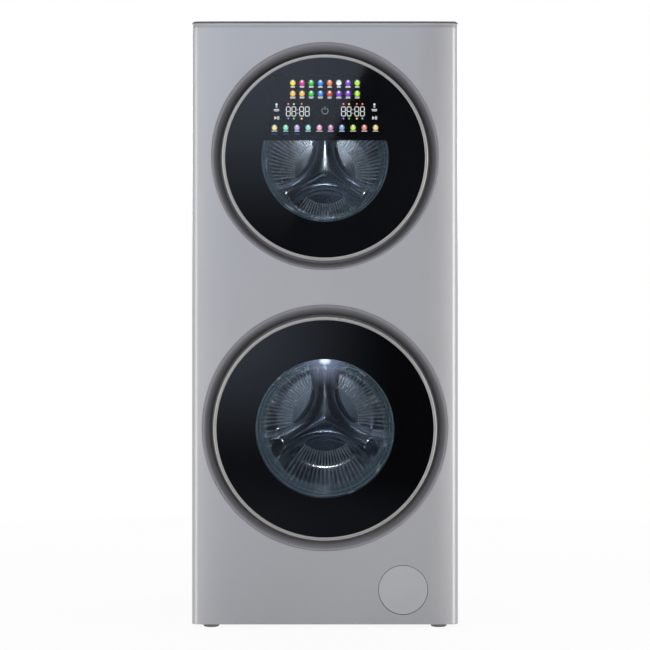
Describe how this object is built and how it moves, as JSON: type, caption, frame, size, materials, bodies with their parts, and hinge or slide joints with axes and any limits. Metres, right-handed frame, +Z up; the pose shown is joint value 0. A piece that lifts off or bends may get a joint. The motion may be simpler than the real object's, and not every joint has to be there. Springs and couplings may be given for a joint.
{
  "type": "washer dryer stack",
  "caption": "Tall silver laundry cabinet with one round glass door above another, each in front of its own drum, and a touch display in the upper door.",
  "frame": {"origin": "on the floor, at the centre of the overall box", "axes": "+Z up, +X to the viewer's right, +Y to the back"},
  "size_m": [0.6, 0.65, 1.365],
  "materials": {
    "silver_paint": "satin metallic silver paint",
    "galvanised_steel": "galvanised sheet",
    "dark_grey_lid": "dark grey satin",
    "dark_bezel": "dark grey satin moulding",
    "black_plastic": "black moulded plastic",
    "foot_plastic": "dark moulded foot",
    "chrome": "bright trim",
    "black_glass": "tempered glass, black around a clear window",
    "clear_glass": "clear pressed glass",
    "hinge_metal": "zinc plated",
    "display": "dark display board with lit marks",
    "lamp_lens": "white lamp with a clear lens",
    "grey_rubber": "grey door gasket",
    "spring_steel": "springs and dampers",
    "tub_plastic": "light grey filled plastic",
    "counterweight": "cast blocks",
    "motor_steel": "motor laminations and bell",
    "duct_metal": "galvanised duct",
    "stainless": "bright stainless steel, perforated",
    "lifter_plastic": "grey lifters",
    "cast_aluminium": "cast",
    "filter_blue": "blue-grey moulded filter",
    "valve_white": "white moulded valve"
  },
  "bodies": {
    "cabinet": {"front_panel": "silver_paint", "side_panel_left": "silver_paint", "side_panel_right": "silver_paint", "rear_panel": "galvanised_steel", "top_cover": "dark_grey_lid", "base_frame": "galvanised_steel", "cross_rails": "galvanised_steel", "control_box": "black_plastic", "drum_lamps": "lamp_lens", "hinge_brackets": "hinge_metal", "door_locks": "black_plastic", "upper_bezel": "dark_bezel", "lower_bezel": "dark_bezel", "upper_gasket": "grey_rubber", "lower_gasket": "grey_rubber", "upper_suspension": "spring_steel", "lower_suspension": "spring_steel", "filter_pocket": "black_plastic", "drain_pump": "black_plastic", "inlet_valve": "valve_white", "rear_fittings": "black_plastic"},
    "upper_door": {"upper_door_frame": "black_plastic", "upper_door_trim": "chrome", "upper_door_glass": "black_glass", "upper_door_bowl": "clear_glass", "upper_door_liner": "black_plastic", "upper_door_fittings": "hinge_metal", "display_board": "display"},
    "upper_tub": {"upper_tub_front": "tub_plastic", "upper_tub_rear": "tub_plastic", "upper_counterweights": "counterweight", "upper_bearings": "hinge_metal", "upper_stator": "motor_steel", "dryer_duct": "duct_metal"},
    "upper_drum": {"upper_drum": "stainless", "upper_lifters": "lifter_plastic", "upper_spider": "cast_aluminium", "upper_rotor": "motor_steel"},
    "lower_door": {"lower_door_frame": "black_plastic", "lower_door_trim": "chrome", "lower_door_glass": "black_glass", "lower_door_bowl": "clear_glass", "lower_door_liner": "black_plastic", "lower_door_fittings": "hinge_metal"},
    "lower_tub": {"lower_tub_front": "tub_plastic", "lower_tub_rear": "tub_plastic", "lower_counterweights": "counterweight", "lower_bearings": "hinge_metal", "lower_stator": "motor_steel"},
    "lower_drum": {"lower_drum": "stainless", "lower_lifters": "lifter_plastic", "lower_spider": "cast_aluminium", "lower_rotor": "motor_steel"},
    "dryer_fan": {"dryer_fan": "tub_plastic"},
    "filter_cover": {"filter_cover": "silver_paint"},
    "drain_filter": {"drain_filter": "filter_blue"},
    "foot_front_left": {"foot_front_left": "foot_plastic"},
    "foot_front_right": {"foot_front_right": "foot_plastic"},
    "foot_rear_left": {"foot_rear_left": "foot_plastic"},
    "foot_rear_right": {"foot_rear_right": "foot_plastic"}
  },
  "joints": [
    {"name": "upper_door_hinge", "type": "hinge", "parent": "cabinet", "child": "upper_door", "pos_m": [-0.2147, -0.313, 1.0573], "axis": [0, 0, -1], "range_deg": [0, 110]},
    {"name": "upper_tub_float", "type": "slide", "parent": "cabinet", "child": "upper_tub", "axis": [0, 0, 1], "range_m": [-0.01, 0.01], "stiffness_N_per_m": 20000, "springref_m": 0.01398, "deforming": ["upper_gasket", "upper_suspension"]},
    {"name": "upper_drum_spin", "type": "hinge", "parent": "upper_tub", "child": "upper_drum", "pos_m": [0, 0, 1.0573], "axis": [0, 1, 0], "continuous": true},
    {"name": "lower_door_hinge", "type": "hinge", "parent": "cabinet", "child": "lower_door", "pos_m": [-0.2342, -0.313, 0.4481], "axis": [0, 0, -1], "range_deg": [0, 110]},
    {"name": "lower_tub_float", "type": "slide", "parent": "cabinet", "child": "lower_tub", "axis": [0, 0, 1], "range_m": [-0.01, 0.01], "stiffness_N_per_m": 20000, "springref_m": 0.01642, "deforming": ["lower_gasket", "lower_suspension"]},
    {"name": "lower_drum_spin", "type": "hinge", "parent": "lower_tub", "child": "lower_drum", "pos_m": [0, 0, 0.4481], "axis": [0, 1, 0], "continuous": true},
    {"name": "dryer_fan_spin", "type": "hinge", "parent": "upper_tub", "child": "dryer_fan", "pos_m": [0.212, 0.15, 1.27], "axis": [0, 0, 1], "continuous": true},
    {"name": "filter_cover_pull", "type": "slide", "parent": "cabinet", "child": "filter_cover", "axis": [0, -1, 0], "range_m": [0, 0.04]},
    {"name": "drain_filter_turn", "type": "hinge", "parent": "cabinet", "child": "drain_filter", "pos_m": [0.1757, -0.27, 0.0851], "axis": [0, -1, 0], "range_deg": [0, 90]},
    {"name": "foot_front_left_level", "type": "slide", "parent": "cabinet", "child": "foot_front_left", "axis": [0, 0, -1], "range_m": [0, 0.015]},
    {"name": "foot_front_right_level", "type": "slide", "parent": "cabinet", "child": "foot_front_right", "axis": [0, 0, -1], "range_m": [0, 0.015]},
    {"name": "foot_rear_left_level", "type": "slide", "parent": "cabinet", "child": "foot_rear_left", "axis": [0, 0, -1], "range_m": [0, 0.015]},
    {"name": "foot_rear_right_level", "type": "slide", "parent": "cabinet", "child": "foot_rear_right", "axis": [0, 0, -1], "range_m": [0, 0.015]}
  ]
}
